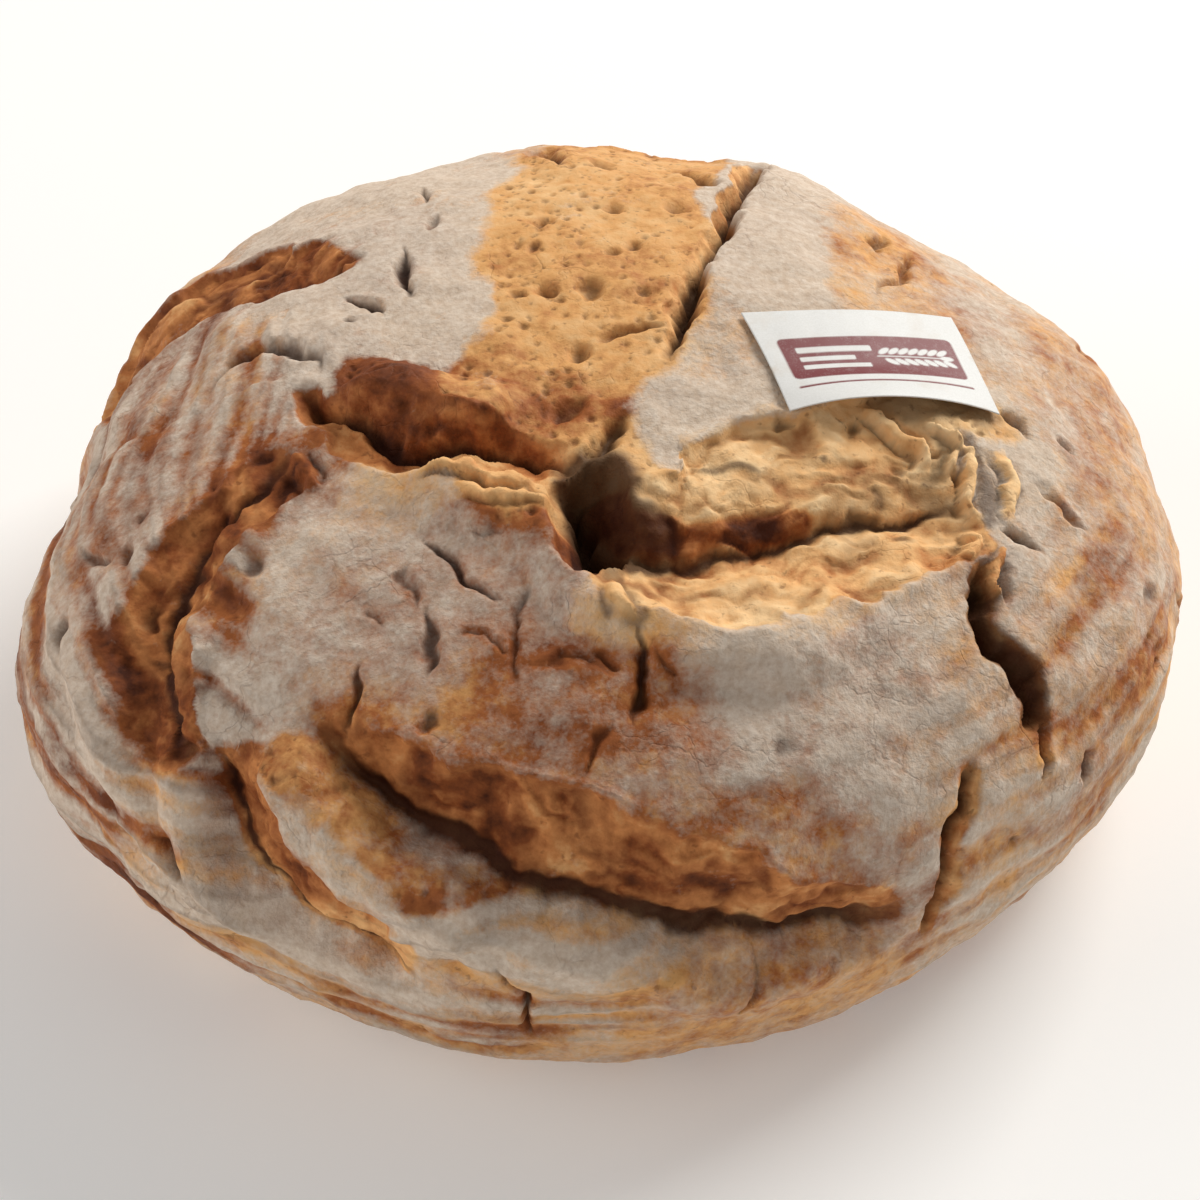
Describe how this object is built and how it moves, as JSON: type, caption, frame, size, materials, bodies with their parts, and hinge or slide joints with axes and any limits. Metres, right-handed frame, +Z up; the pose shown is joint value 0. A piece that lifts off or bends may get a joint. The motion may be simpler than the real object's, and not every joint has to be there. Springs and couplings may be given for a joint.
{
  "type": "rye bread loaf",
  "caption": "Round rye loaf on a flat base: a floured domed crust torn open in deep, rough-sided cracks and rolls, with a small paper label on its right shoulder.",
  "frame": {"origin": "on the surface the loaf stands on, under the middle of its box", "axes": "+Z up from the flat base, +X to the loaf's right where the label is, -Y to its front where the long crescent tear is"},
  "size_m": [0.2392, 0.2306, 0.1033],
  "materials": {
    "crust": "matte baked rye crust, floured, torn crumb in the cracks",
    "label_paper": "matte white paper with plain dark red bars"
  },
  "bodies": {
    "root": {"loaf": "crust", "label": "label_paper"}
  },
  "joints": []
}
